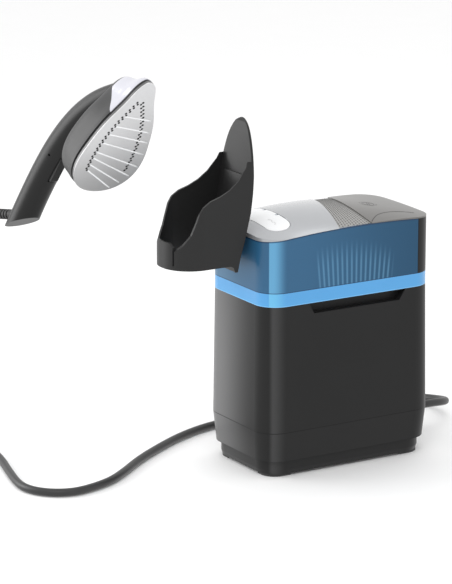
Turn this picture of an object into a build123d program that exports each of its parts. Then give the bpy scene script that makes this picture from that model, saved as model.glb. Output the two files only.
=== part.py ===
"""Garment steamer: base station with water tank, dock, steam hose and a hand-held steam head.

The origin is on the floor under the centre of the base. +X runs along the base's long side,
away from the dock, -Y is the long front side and +Z is up. The steam head is off its dock and
held up in front of a hanging garment, which is where the hose and the head are drawn.
"""
import math
import os

from build123d import *

# ---------------------------------------------------------------- driving dimensions (mm)
BASE_LENGTH, BASE_WIDTH, CORNER = 234.0, 138.0, 27.0
WALL = 2.5
FOOT_TOP, PLINTH_TOP, SKIRT_TOP, HOUSING_TOP, BAND_TOP = 3.0, 20.0, 56.0, 209.0, 225.0
PLINTH_INSET, SKIRT_BULGE = 5.4, 1.6        # step at the plinth, swell of the casing at its seam

GRIP_TOP_X, GRIP_LOW_X, GRIP_HEIGHT, GRIP_DEPTH = (-60.0, 77.0), (-52.5, 67.0), 13.0, 11.0

TANK_END_X = 93.0                           # the tank stops here and the rear tower begins
RIB_FROM_X, RIB_PITCH, RIB_COUNT, RIB_TOP = -46.0, 6.3, 17, 276.0
ARCH_RADIUS, ARCH_TOP, ARCH_X = 1250.0, 294.0, 20.0   # the tank's top edge is a shallow arch

DOME_SECTIONS = (                           # x, height at the long edges, height at the middle
    (-118, 288.0, 292.0), (-104, 289.0, 299.0), (-60, 291.5, 307.5), (-10, 294.0, 309.0),
    (30, 295.0, 306.0), (64, 295.0, 301.5), (98, 293.5, 296.5), (118, 291.5, 293.0))
COVER_THICK = 2.2                           # the tank's inner cover, under the dome
GRIP_BAND_DROP = 1.6                        # the knurled band lies this much under the dome
DOOR_X, DOOR_LENGTH, DOOR_WIDTH, DOOR_CORNER = -84.0, 102.0, 30.0, 14.0
DOOR_THICK, DOOR_GAP = 2.2, 0.7
DOOR_HINGE_X, DOOR_HINGE_Z, DOOR_PIN_RADIUS = -70.2, 304.5, 0.7   # just inside the lid's edge
DOOR_EAR = (12.3, 15.7)                     # the two ears that carry the pin, from the middle
BUTTON_X, BUTTON_Y, BUTTON_RADIUS = 60.0, -10.0, 10.0

DOCK_HALF_WIDTH, DOCK_WALL, DOCK_BOTTOM = 38.0, 3.0, 258.0
DOCK_SHOULDER_Z, DOCK_TIP_Z, DOCK_CORNER = 320.0, 424.0, 36.0
DOCK_TONGUE, DOCK_SLOT, DOCK_TONGUE_TOP = 18.0, 2.0, 289.5     # the latch at the dock's front

HEAD_CENTRE = Vector(-265.0, 5.6, 416.9)    # middle of the sole plate's face, in the air
HEAD_PITCH, HEAD_YAW = 31.5, 9.1            # degrees
SOLE_TIP, SOLE_HEEL, SOLE_HALF_WIDTH, SOLE_WAIST = 81.0, -84.0, 44.8, -40.0
SOLE_THICK, GASKET_TOP = 3.5, 7.0
HANDLE_WALL = 2.4

HOSE_DIAMETER = 9.6
GLAND_Y, GLAND_Z = 14.0, 31.0
GLAND_END_X = 150.0

nodes = {}


# ---------------------------------------------------------------- helpers
def rounded(length, width, radius, z0, z1, x=0.0, y=0.0):
    """A block with rounded vertical corners."""
    outline = Pos(x, y) * RectangleRounded(length, width, radius)
    return extrude(Plane.XY.offset(z0) * outline, z1 - z0)


def block(x0, x1, y0, y1, z0, z1):
    return Pos((x0 + x1) / 2, (y0 + y1) / 2, (z0 + z1) / 2) * Box(
        abs(x1 - x0), abs(y1 - y0), abs(z1 - z0))


def rod(x, y, z0, z1, radius):
    return Pos(x, y, (z0 + z1) / 2) * Cylinder(radius, z1 - z0)


def rod_along_y(x, y0, y1, z, radius):
    return Pos(x, (y0 + y1) / 2, z) * Cylinder(radius, y1 - y0, rotation=(90, 0, 0))


def rod_along_x(x0, x1, y, z, radius):
    return Pos((x0 + x1) / 2, y, z) * Cylinder(radius, x1 - x0, rotation=(0, 90, 0))


def tapered(levels, inset=0.0):
    """A casing whose plan is the base's, grown by a different amount at each height."""
    sections = [
        Plane.XY.offset(z) * RectangleRounded(
            BASE_LENGTH + 2 * (grow - inset), BASE_WIDTH + 2 * (grow - inset), CORNER - inset)
        for z, grow in levels]
    return loft([s.face() for s in sections], ruled=True)


def prism_y(points, y0, y1):
    """A side-view outline (x, z) pulled from y0 to y1."""
    outline = make_face(Polyline(*[(x, z) for x, z in points], close=True))
    return extrude(Plane((0, y1, 0), x_dir=(1, 0, 0), z_dir=(0, -1, 0)) * outline, y1 - y0)


def solid_curve_face(points):
    """A closed smooth outline through points."""
    return make_face(Spline(*points, periodic=True))


def tube(points, radius, bends):
    """A round tube along straight runs joined by arcs."""
    path = FilletPolyline(*points, radius=bends)
    start = Plane(origin=path @ 0, z_dir=path % 0)
    return sweep(start * Circle(radius), path=path), path


def even_bends(points):
    """The largest arc that the runs beside each corner leave room for."""
    corners = [Vector(*p) for p in points]
    radii = []
    for before, here, after in zip(corners, corners[1:], corners[2:]):
        run_in, run_out = here - before, after - here
        half_turn = math.radians(run_in.get_angle(run_out)) / 2
        radii.append(0.45 * min(run_in.length, run_out.length) / math.tan(half_turn))
    return radii


def coil_spring(radius, wire, height, turns):
    helix = Helix(pitch=height / turns, height=height, radius=radius)
    start = Plane(origin=helix @ 0, z_dir=helix % 0)
    return sweep(start * Circle(wire), path=helix, is_frenet=True)


def add(name, shape):
    nodes[name] = shape


# ---------------------------------------------------------------- base casing
def make_feet():
    sole = rounded(BASE_LENGTH - 2 * 9, BASE_WIDTH - 2 * 9, CORNER - 9, 0, FOOT_TOP)
    feet = None
    for sx in (-1, 1):
        for sy in (-1, 1):
            corner = Pos(sx * 99, sy * 53, FOOT_TOP / 2) * Box(42, 38, FOOT_TOP)
            feet = corner & sole if feet is None else feet + (corner & sole)
    lip = rounded(BASE_LENGTH - 60, BASE_WIDTH - 60, 12, 0, FOOT_TOP)
    lip -= rounded(BASE_LENGTH - 66, BASE_WIDTH - 66, 9, 0, FOOT_TOP)
    spokes = None
    for sx in (-1, 1):
        for sy in (-1, 1):
            spoke = Pos(sx * 84, sy * 38, FOOT_TOP / 2) * Box(14, 14, FOOT_TOP)
            spokes = spoke if spokes is None else spokes + spoke
    add("foot_ring", feet + lip + spokes)


def make_casing():
    plinth = tapered([(FOOT_TOP, -PLINTH_INSET - 1.2), (8, -PLINTH_INSET), (PLINTH_TOP, -PLINTH_INSET)])
    plinth -= tapered([(FOOT_TOP + 3, -PLINTH_INSET), (PLINTH_TOP, -PLINTH_INSET)], inset=WALL)
    for angle in (90, 210, 330):
        x, y = 52 * math.cos(math.radians(angle)), 52 * math.sin(math.radians(angle))
        plinth += rod(x, y, FOOT_TOP + 3, 97, 3.5)
    add("base_plate", plinth)

    low, seam, high = -PLINTH_INSET + 4.2, SKIRT_BULGE, 0.0
    skirt = tapered([(PLINTH_TOP, low), (SKIRT_TOP, seam)])
    skirt -= tapered([(PLINTH_TOP + 2, low), (SKIRT_TOP, seam)], inset=WALL + 1)
    opening = PLINTH_INSET + WALL
    skirt -= rounded(BASE_LENGTH - 2 * opening, BASE_WIDTH - 2 * opening, CORNER - opening,
                     PLINTH_TOP - 1, PLINTH_TOP + 3)
    skirt -= rod_along_x(100, 130, GLAND_Y, GLAND_Z, 8.0)
    skirt -= rod_along_x(100, 130, -32, GLAND_Z, 6.0)
    add("base_skirt", skirt)

    levels = [(SKIRT_TOP, SKIRT_BULGE), (HOUSING_TOP, high)]
    housing = tapered(levels) - tapered(levels, inset=WALL + 0.5)
    half = BASE_WIDTH / 2
    pocket = [(GRIP_TOP_X[0], HOUSING_TOP + 1), (GRIP_LOW_X[0], HOUSING_TOP - GRIP_HEIGHT),
              (GRIP_LOW_X[1], HOUSING_TOP - GRIP_HEIGHT), (GRIP_TOP_X[1], HOUSING_TOP + 1)]
    cups = None
    for side in (-1, 1):
        near, far = sorted((side * (half - GRIP_DEPTH - 2), side * (half + 5)))
        housing -= prism_y(pocket, near, far)
        near, far = sorted((side * (half - GRIP_DEPTH - 2), side * (half - WALL - 0.5)))
        cup = prism_y([(GRIP_TOP_X[0] - 2, HOUSING_TOP), (GRIP_LOW_X[0] - 2, HOUSING_TOP - GRIP_HEIGHT - 2),
                       (GRIP_LOW_X[1] + 2, HOUSING_TOP - GRIP_HEIGHT - 2),
                       (GRIP_TOP_X[1] + 2, HOUSING_TOP)], near, far)
        hollow_near, hollow_far = sorted((side * (half - GRIP_DEPTH), side * (half + 5)))
        cup -= prism_y([(x, min(z, HOUSING_TOP - 2)) for x, z in pocket], hollow_near, hollow_far)
        cup -= tapered([(SKIRT_TOP, SKIRT_BULGE), (HOUSING_TOP + 0.1, high)]) - tapered(
            [(SKIRT_TOP, SKIRT_BULGE), (HOUSING_TOP + 0.1, high)], inset=WALL + 0.5)
        cups = cup if cups is None else cups + cup
    add("base_housing", housing)
    add("grip_recess", cups)

    band = rounded(BASE_LENGTH, BASE_WIDTH, CORNER, HOUSING_TOP, BAND_TOP)
    band -= rounded(BASE_LENGTH - 4, BASE_WIDTH - 4, CORNER - 2, HOUSING_TOP, BAND_TOP)
    add("trim_band", band)

    deck = rounded(BASE_LENGTH - 4, BASE_WIDTH - 4, CORNER - 2, HOUSING_TOP, HOUSING_TOP + 3)
    deck += block(-40, 112, -1.5, 1.5, HOUSING_TOP + 3, BAND_TOP)
    deck -= rod(-60, 0, HOUSING_TOP - 1, BAND_TOP + 1, 11)
    deck -= rod(104, 40, HOUSING_TOP - 1, BAND_TOP + 1, 7)
    add("chassis_deck", deck)


# ---------------------------------------------------------------- tank, tower and top
def arch_body(lift=0.0):
    """Everything under the shallow arch that the tank's top edge follows."""
    return Pos(ARCH_X, 0, ARCH_TOP - ARCH_RADIUS + lift) * Cylinder(
        ARCH_RADIUS, 400, rotation=(90, 0, 0))


def make_tank():
    inner_length, inner_width = BASE_LENGTH - 2 * WALL, BASE_WIDTH - 2 * WALL
    tank = rounded(BASE_LENGTH, BASE_WIDTH, CORNER, BAND_TOP, 300)
    tank -= rounded(inner_length, inner_width, CORNER - WALL, BAND_TOP + WALL, 301)
    tank &= block(-130, TANK_END_X, -90, 90, BAND_TOP, 301)
    end_wall = block(TANK_END_X - WALL, TANK_END_X, -66.5, 66.5, BAND_TOP + WALL, 300)
    tank += end_wall
    for index in range(RIB_COUNT):
        lean = (index - (RIB_COUNT - 1) / 2) / RIB_COUNT
        x = RIB_FROM_X + index * RIB_PITCH
        top = x + 12 * lean * abs(lean)
        tank += prism_y([(x - 1.2, BAND_TOP + WALL), (x + 1.2, BAND_TOP + WALL),
                         (top + 0.9, RIB_TOP), (top - 0.9, RIB_TOP)],
                        -inner_width / 2 - 0.3, -inner_width / 2 + 1.6)
    tank &= arch_body()
    tank -= rod(-60, 0, BAND_TOP - 1, BAND_TOP + WALL + 1, 8)
    add("water_tank", tank)

    cover = rounded(inner_length, inner_width, CORNER - WALL, 270, 300)
    cover &= block(-130, TANK_END_X - WALL, -90, 90, 270, 301) & arch_body()
    cover -= arch_body(-COVER_THICK)
    well = (BUTTON_X - 17, BUTTON_X + 17, BUTTON_Y - 12, BUTTON_Y + 12)
    cover += block(*well, 281, 292)
    cover -= block(BUTTON_X - 14, BUTTON_X + 14, BUTTON_Y - 9, BUTTON_Y + 9, 283, 300)
    add("tank_cover", cover - door_plan(1.5))

    tower = rounded(BASE_LENGTH, BASE_WIDTH, CORNER, BAND_TOP, 300)
    tower &= block(TANK_END_X + 0.4, 130, -90, 90, BAND_TOP, 301)
    hollow = rounded(inner_length, inner_width, CORNER - WALL, BAND_TOP + WALL, 301)
    tower -= hollow & block(TANK_END_X + 0.4 + WALL, 130, -90, 90, BAND_TOP, 301)
    tower &= arch_body()
    tower -= rod(104, 40, BAND_TOP - 1, BAND_TOP + WALL + 1, 7)
    add("rear_tower", tower)

    valve = rod(-60, 0, HOUSING_TOP - 9, BAND_TOP + 6, 4.5) + rod(-60, 0, BAND_TOP + WALL, BAND_TOP + 6, 11)
    valve += rod(-60, 0, BAND_TOP - 5, BAND_TOP + WALL, 8)
    valve -= rod(-60, 0, HOUSING_TOP - 10, BAND_TOP + 3, 3)
    add("tank_valve", valve)
    seal = rod(-60, 0, HOUSING_TOP + 3, BAND_TOP, 15) - rod(-60, 0, HOUSING_TOP + 3, BAND_TOP, 8)
    add("tank_seal", seal)


def crown(drop=0.0):
    """The domed top as one block, standing on the arch."""
    half = BASE_WIDTH / 2
    sections = []
    for x, edge, middle in DOME_SECTIONS:
        edge, middle = edge - drop, middle - drop
        wire = Polyline((-half, edge), (-half, 270), (half, 270), (half, edge))
        wire += ThreePointArc((half, edge), (0, middle), (-half, edge))
        sections.append(Plane((x, 0, 0), x_dir=(0, 1, 0), z_dir=(1, 0, 0)) * make_face(wire))
    top = loft([s.face() for s in sections])
    top &= rounded(BASE_LENGTH, BASE_WIDTH, CORNER, 260, 330)
    return top - arch_body(0.2)


def plan_region(points, arcs, z0=270, z1=330):
    """Everything on one side of a curved line across the top."""
    first, last = arcs[0], arcs[-1]
    wire = ThreePointArc(*arcs) + Polyline(last, *points, first)
    return extrude(Plane.XY.offset(z0) * make_face(wire), z1 - z0)


def door_plan(grow, z0=270):
    """The filling door's outline, grown all round, as an upright block."""
    return rounded(DOOR_WIDTH + 2 * grow, DOOR_LENGTH + 2 * grow, DOOR_CORNER + grow, z0, 330, x=DOOR_X)


def make_top():
    whole = crown()
    lowered = crown(GRIP_BAND_DROP)
    left = plan_region([(-150, 90), (-150, -90)], [(-22, -90), (0, 5), (30, 90)])
    right = plan_region([(150, 90), (150, -90)], [(32, -90), (29, 5), (68, 90)])
    dome = whole & left
    panel = whole & right
    band = lowered - left - right

    inner = Pos(0, 0, -3) * crown()
    inner &= rounded(BASE_LENGTH - 10, BASE_WIDTH - 10, CORNER - 5, 260, 330)
    inner += arch_body(0.3) & rounded(BASE_LENGTH - 10, BASE_WIDTH - 10, CORNER - 5, 260, 330)
    dome_inner = inner & block(-130, 130, -90, 90, 250, 330)
    dome -= dome_inner
    band -= Pos(0, 0, -GRIP_BAND_DROP) * dome_inner
    panel -= dome_inner

    # the filling door: a lid flush with the dome, over a funnel that is open to the tank
    lid = (whole & door_plan(0.0)) - Pos(0, 0, -DOOR_THICK) * crown() - arch_body(0.3)
    knuckle = rod_along_y(DOOR_HINGE_X, -DOOR_EAR[0] + 0.3, DOOR_EAR[0] - 0.3, DOOR_HINGE_Z, 1.8)
    lid += knuckle & whole & door_plan(0.0)
    sweep_room = rod_along_y(DOOR_HINGE_X, -38, 38, DOOR_HINGE_Z, 2.6)
    dome = dome - door_plan(DOOR_GAP) - sweep_room

    funnel = door_plan(1.5, 262) & (Pos(0, 0, -3.4) * crown() + arch_body(0.3))
    funnel = funnel - door_plan(-0.5, 264) - sweep_room
    funnel -= rounded(10, 60, 4.5, 260, 270, x=DOOR_X - 2)
    for side in (-1, 1):
        near, far = sorted((side * DOOR_EAR[0], side * DOOR_EAR[1]))
        funnel += rod_along_y(DOOR_HINGE_X, near, far, DOOR_HINGE_Z, 1.2)
        funnel += block(DOOR_HINGE_X - 1.2, DOOR_HINGE_X + 2.0, near, far, 298, DOOR_HINGE_Z)
        lid -= block(DOOR_HINGE_X - 2.2, DOOR_HINGE_X + 3, near - 0.3, far + 0.3, 290, 310)
    pin_length = DOOR_EAR[1] + 0.2
    lid -= rod_along_y(DOOR_HINGE_X, -pin_length, pin_length, DOOR_HINGE_Z, DOOR_PIN_RADIUS + 0.05)
    pin = rod_along_y(DOOR_HINGE_X, -pin_length, pin_length, DOOR_HINGE_Z, DOOR_PIN_RADIUS)
    add("fill_door", lid)
    add("fill_funnel", funnel - pin)
    add("door_pin", pin)

    # the power button in its well
    well = rod(BUTTON_X, BUTTON_Y, 285, 330, BUTTON_RADIUS + 0.4)
    guide = rod(BUTTON_X, BUTTON_Y, 294, 298.2, BUTTON_RADIUS + 2.4) - rod(
        BUTTON_X, BUTTON_Y, 294, 299, BUTTON_RADIUS + 0.4)
    panel = panel - well
    guide -= whole - inner
    button = (whole & rod(BUTTON_X, BUTTON_Y, 296.5, 330, BUTTON_RADIUS))
    button += rod(BUTTON_X, BUTTON_Y, 293.2, 297, 3)
    add("power_button", button)
    add("top_dome", dome)
    add("grip_band", band)
    add("control_panel", panel + (guide & rod(BUTTON_X, BUTTON_Y, 296, 330, BUTTON_RADIUS + 2.4)))


# ---------------------------------------------------------------- inside the base
def make_internals():
    radius, flange = 44.0, 54.0
    lower = rod(0, 0, 62, 100, radius) + rod(0, 0, 97, 100, flange)
    lower -= rod(0, 0, 64, 101, radius - 2)
    upper = rod(0, 0, 100.8, 140, radius) + rod(0, 0, 100.8, 103.8, flange)
    upper -= rod(0, 0, 100, 138, radius - 2)
    gasket = rod(0, 0, 100, 100.8, flange) - rod(0, 0, 99, 102, radius - 2)
    bolts = None
    for angle in range(0, 360, 60):
        x, y = 49.5 * math.cos(math.radians(angle)), 49.5 * math.sin(math.radians(angle))
        hole = rod(x, y, 90, 110, 2)
        lower, upper, gasket = lower - hole, upper - hole, gasket - hole
        bolt = rod(x, y, 94, 103.8, 2) + rod(x, y, 103.8, 107, 3.6)
        bolts = bolt if bolts is None else bolts + bolt
    upper -= rod(0, 26, 130, 150, 4)
    upper -= rod(-24, -12, 130, 150, 4)
    upper -= rod(26, -8, 130, 150, 4)
    add("boiler_lower", lower)
    add("boiler_upper", upper)
    add("boiler_gasket", gasket)
    add("boiler_bolts", bolts)

    heater = Pos(0, 0, 58.0) * Torus(32, 3.6)
    heater += block(26, 38, -3, 3, 54.6, 61.4) + block(36, 48, -2, 2, 56, 60)
    add("heating_element", heater)

    valve = block(-14, 14, 14, 38, 140, 152) + rod(0, 26, 152, 182, 11) + rod(0, 26, 136, 140, 4)
    valve += rod_along_x(14, 26, 26, 146, 4)
    add("steam_valve", valve)
    safety = rod(-24, -12, 134, 156, 4) + rod(-24, -12, 140, 147, 7)
    add("safety_valve", safety)
    probe = rod(26, -8, 134, 146, 4) + rod(26, -8, 140, 143, 8)
    add("thermostat", probe)

    pump = rod_along_y(-84, -34, 34, 44, 16) + rod_along_y(-84, -44, -34, 44, 6)
    pump += rod_along_y(-84, 34, 44, 44, 6)
    add("pump", pump)
    mounts = None
    for y in (-22, 22):
        mount = block(-98, -70, y - 6, y + 6, FOOT_TOP + 3, 42) - rod_along_y(-84, -60, 60, 44, 16)
        mounts = mount if mounts is None else mounts + mount
    add("pump_mounts", mounts)


def make_tubes():
    water, _ = tube([(-60, 0, HOUSING_TOP - 9), (-60, 0, 176), (-84, -39, 118), (-84, -39, 50.2)],
                    3.0, [16, 20])
    add("water_tube", water)
    feed, _ = tube([(-84, 44, 44), (-84, 56, 44), (-72, 58, 62), (-62, 44, 92), (-61, 20, 112),
                    (-59, 0, 118), (-44.2, 0, 118)], 2.5, [5, 9, 12, 9, 8])
    add("feed_tube", feed)
    steam, _ = tube([(26, 26, 146), (62, 26, 146), (86, 24, 120), (88, GLAND_Y, 60),
                     (92, GLAND_Y, GLAND_Z), (104, GLAND_Y, GLAND_Z)], 3.5, [16, 18, 14, 7])
    add("steam_tube", steam)

    gland = rod_along_x(111.5, 121, GLAND_Y, GLAND_Z, 8.0) + rod_along_x(
        119, 123, GLAND_Y, GLAND_Z, 11.0)
    taper = loft([
        (Plane((x, GLAND_Y, GLAND_Z), z_dir=(1, 0, 0)) * Circle(r)).face()
        for x, r in ((123, 8.2), (136, 6.8), (GLAND_END_X, 5.6))])
    gland += taper
    gland -= rod_along_x(111, GLAND_END_X - 6, GLAND_Y, GLAND_Z, 3.6)
    gland -= rod_along_x(GLAND_END_X - 6.01, GLAND_END_X + 1, GLAND_Y, GLAND_Z, 3.6)
    gland -= rod_along_x(100, 112.5, GLAND_Y, GLAND_Z, 3.5)
    add("hose_gland", gland)
    inlet = rod_along_x(111, 122, -32, GLAND_Z, 6.0) + rod_along_x(119.5, 122, -32, GLAND_Z, 8.5)
    inlet -= rod_along_x(110, 123, -32, GLAND_Z, 3.4)
    add("mains_inlet", inlet)

    board = block(103, 104.6, -50, 50, 232, 284)
    for y in (-34, -10, 16):
        board += block(104.6, 110, y - 7, y + 7, 240, 256)
    board += block(98, 103, -44, 44, 229, 231.5) + block(103, 104.6, -44, 44, 229, 232)
    board += block(102, 105.6, -46, 46, BAND_TOP + WALL, 232)
    add("control_board", board)

    switch = block(BUTTON_X - 6, BUTTON_X + 6, BUTTON_Y - 6, BUTTON_Y + 6, 284.5, 289.5)
    switch += block(BUTTON_X - 14, BUTTON_X + 14, BUTTON_Y - 9, BUTTON_Y + 9, 283, 284.5)
    add("button_switch", switch)
    spring = Pos(BUTTON_X, BUTTON_Y, 290.0) * coil_spring(4.4, 0.4, 6.0, 4)
    add("button_spring", spring)


# ---------------------------------------------------------------- dock
def make_dock():
    back = [(-138, DOCK_BOTTOM - 8), (-133.5, 270), (-128.6, 286), (-120.5, 318), (-117, 341),
            (-114.5, 360), (-111.5, 395), (-108.5, DOCK_TIP_Z)]
    front = [(-111.4, 420), (-112.6, 411), (-114.6, 400), (-118, 386), (-124.5, 371), (-136, 357),
             (-148, 348), (-161, 342), (-174, 338), (-183.5, 332), (-189, 324), (-193, 313),
             (-198, 300), (-206, 288), (-213, 280), (-219, 277), (-219, DOCK_BOTTOM),
             (-148, DOCK_BOTTOM), (-143.5, DOCK_BOTTOM - 2), (-141.5, DOCK_BOTTOM - 8)]
    side_view = make_face(Polyline(*back, *front, close=True))
    reach = DOCK_HALF_WIDTH + 1
    upright = Plane((0, reach, 0), x_dir=(1, 0, 0), z_dir=(0, -1, 0))
    body = extrude(upright * side_view, 2 * reach)

    def plan(half_width, left, corner):
        return rounded(180, 2 * half_width, corner, 240, 440, x=left + 90)

    def gothic(half_width, tip):
        """Front view: straight walls that close in a pointed arch."""
        steps = [0.0, 0.2, 0.4, 0.58, 0.74, 0.87, 0.96]
        rise = tip - DOCK_SHOULDER_Z
        right_side = [(half_width * math.sqrt(1 - t * t), DOCK_SHOULDER_Z + rise * t) for t in steps]
        left_side = [(-y, z) for y, z in reversed(right_side)]
        wire = Polyline((-half_width, 230), (half_width, 230), right_side[0])
        wire += Spline(*right_side, (0, tip), *left_side)
        wire += Polyline(left_side[-1], (-half_width, 230))
        view = Plane((-260, 0, 0), x_dir=(0, 1, 0), z_dir=(1, 0, 0))
        return extrude(view * make_face(wire), 200)

    outer = body & plan(DOCK_HALF_WIDTH, -218, DOCK_CORNER) & gothic(DOCK_HALF_WIDTH, DOCK_TIP_Z)
    inner_side = [(x - DOCK_WALL, z) for x, z in back]
    inner_side[0] = (inner_side[0][0] - 1, 240)
    hollow_view = make_face(Polyline(*inner_side, (-112, 430), (-240, 430), (-240, 240), close=True))
    hollow = extrude(upright * hollow_view, 2 * reach)
    inside = plan(DOCK_HALF_WIDTH - DOCK_WALL, -218 + DOCK_WALL, DOCK_CORNER - DOCK_WALL)
    hollow &= inside
    hollow &= gothic(DOCK_HALF_WIDTH - DOCK_WALL, DOCK_TIP_Z + 30)
    shell = outer - hollow
    for side in (-1, 1):
        y0, y1 = sorted((side * DOCK_TONGUE, side * (DOCK_TONGUE + DOCK_SLOT)))
        shell -= block(-225, -200, y0, y1, DOCK_BOTTOM + 5, 300)
    shell -= block(-225, -206, -DOCK_TONGUE - 1, DOCK_TONGUE + 1, DOCK_BOTTOM + 12, 300)
    tongue_view = make_face(Polyline(
        (-DOCK_TONGUE, DOCK_BOTTOM + 4), (DOCK_TONGUE, DOCK_BOTTOM + 4), (DOCK_TONGUE, DOCK_TONGUE_TOP - 5),
        (DOCK_TONGUE - 5, DOCK_TONGUE_TOP), (5 - DOCK_TONGUE, DOCK_TONGUE_TOP),
        (-DOCK_TONGUE, DOCK_TONGUE_TOP - 5), close=True))
    tongue = extrude(Plane((-230, 0, 0), x_dir=(0, 1, 0), z_dir=(1, 0, 0)) * tongue_view, 26)
    shell += tongue & (plan(DOCK_HALF_WIDTH, -218, DOCK_CORNER) - inside)
    add("dock_shell", shell)

    pad_view = make_face(Polyline(
        *[(x - DOCK_WALL, z) for x, z in back[2:6]],
        *[(x - DOCK_WALL - 2.5, z) for x, z in reversed(back[2:6])], close=True))
    pad = extrude(Plane((0, 22, 0), x_dir=(1, 0, 0), z_dir=(0, -1, 0)) * pad_view, 44)
    add("dock_rest_pad", pad)

    arm = prism_y([(-BASE_LENGTH / 2, 262), (-136, 262), (-128.6, 286), (-BASE_LENGTH / 2, 286)],
                  -10, 10)
    arm -= outer
    arm -= body
    add("dock_bracket", arm)


# ---------------------------------------------------------------- steam head
def head_plane():
    pitch, yaw = math.radians(HEAD_PITCH), math.radians(HEAD_YAW)
    up_plate = Vector(0, -math.sin(pitch), math.cos(pitch))
    tip = up_plate * math.cos(yaw) + Vector(1, 0, 0) * math.sin(yaw)
    away = Vector(0, math.cos(pitch), math.sin(pitch))
    return Plane(origin=HEAD_CENTRE, x_dir=tip, z_dir=away)


HEAD = head_plane()
SOLE_HALF = [(81.0, 0.0), (78.0, 6.5), (57.0, 17.0), (24.0, 31.5), (-12.0, 41.5), (-40.0, 44.8),
             (-62.0, 39.5), (-77.0, 26.0), (-84.0, 0.0)]


def egg(tip, heel, half_width, z):
    """The sole's outline, stretched to a new tip, heel and width, as a face at height z."""
    points = []
    for x, y in SOLE_HALF:
        if x > SOLE_WAIST:
            x = SOLE_WAIST + (x - SOLE_WAIST) * (tip - SOLE_WAIST) / (SOLE_TIP - SOLE_WAIST)
        else:
            x = SOLE_WAIST + (x - SOLE_WAIST) * (heel - SOLE_WAIST) / (SOLE_HEEL - SOLE_WAIST)
        points.append((x, y * half_width / SOLE_HALF_WIDTH))
    mirrored = [(x, -y) for x, y in reversed(points[1:-1])]
    return Plane.XY.offset(z) * solid_curve_face(points + mirrored)


def egg_slab(tip, heel, half_width, z0, z1):
    return extrude(egg(tip, heel, half_width, z0), z1 - z0, dir=(0, 0, 1))


def egg_block(grow, z0, z1):
    return egg_slab(SOLE_TIP + grow, SOLE_HEEL - grow, SOLE_HALF_WIDTH + grow, z0, z1)


SHELL_SECTIONS = ((7, 80.5, -84.3, 44.9), (20, 70, -87, 43.6), (33, 61, -89.5, 41.5),
                  (42, 54, -90, 38.0), (47, 45, -87, 33.0), (50, 34, -79, 24.0))


def head_block(inset=0.0, top=0.0):
    sections = [egg(tip - inset, heel + inset, half - inset, z - top)
                for z, tip, heel, half in SHELL_SECTIONS]
    return loft([s.face() for s in sections])


HANDLE_SECTIONS = (        # x, z of the centre, tangent angle, half thickness, half width
    (56.0, 29.0, 37.0, 5.5, 8.5), (18.0, 51.5, 33.0, 11.5, 14.5), (-30.0, 74.5, 24.0, 15.5, 16.5),
    (-78.0, 86.5, 9.0, 17.0, 17.0), (-124.0, 90.8, 2.0, 17.5, 17.0), (-180.0, 90.5, -2.0, 17.5, 17.0),
    (-250.0, 86.0, -4.0, 18.5, 16.5))


def handle_block(inset=0.0):
    sections = []
    for x, z, angle, thick, wide in HANDLE_SECTIONS:
        tilt = math.radians(angle)
        along = (math.cos(tilt), 0, -math.sin(tilt))
        plane = Plane((x, 0, z), x_dir=(0, 1, 0), z_dir=along)
        sections.append(plane * Ellipse(wide - inset, thick - inset))
    return loft([s.face() for s in sections])


def handle_upper():
    """Everything above the line that parts the spine cover from the handle's body."""
    line = [(70, 24), (56, 31), (18, 55), (-30, 79.5), (-78, 92.5), (-124, 97), (-180, 97), (-260, 92)]
    wire = Spline(*line) + Polyline(line[-1], (-260, 140), (70, 140), line[0])
    side = Plane((0, 30, 0), x_dir=(1, 0, 0), z_dir=(0, -1, 0))
    return extrude(side * make_face(wire), 60)


def end_cut(shift=0.0):
    """The part of the handle beyond its slanted end."""
    low, high = (-176.0 - shift, 60.0), (-238.5 - shift, 106.0)
    outline = make_face(Polyline(low, high, (high[0] - 8, high[1] + 12), (-320, 118), (-320, 60),
                                 close=True))
    return extrude(Plane((0, 40, 0), x_dir=(1, 0, 0), z_dir=(0, -1, 0)) * outline, 80)


CUFF_BASE, CUFF_ANGLE, CUFF_LENGTH = (-217.0, 104.0), 131.0, 52.0


def cuff_plane(distance):
    tilt = math.radians(CUFF_ANGLE)
    along = (math.cos(tilt), 0, math.sin(tilt))
    return Plane((CUFF_BASE[0] + distance * along[0], 0, CUFF_BASE[1] + distance * along[2]),
                 x_dir=(0, 1, 0), z_dir=along)


def on_cuff(start, end, radius):
    return extrude(cuff_plane(start) * Circle(radius), end - start)


STEAM_PIPE_POINTS = [(-203, 0, 97.5), (-150, 0, 100), (-100, 0, 99), (-50, 0, 88), (-8, 0, 66),
                     (4, 0, 44), (4, 0, 22)]
STEAM_PIPE_BENDS = [60, 60, 40, 18, 12]


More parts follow.
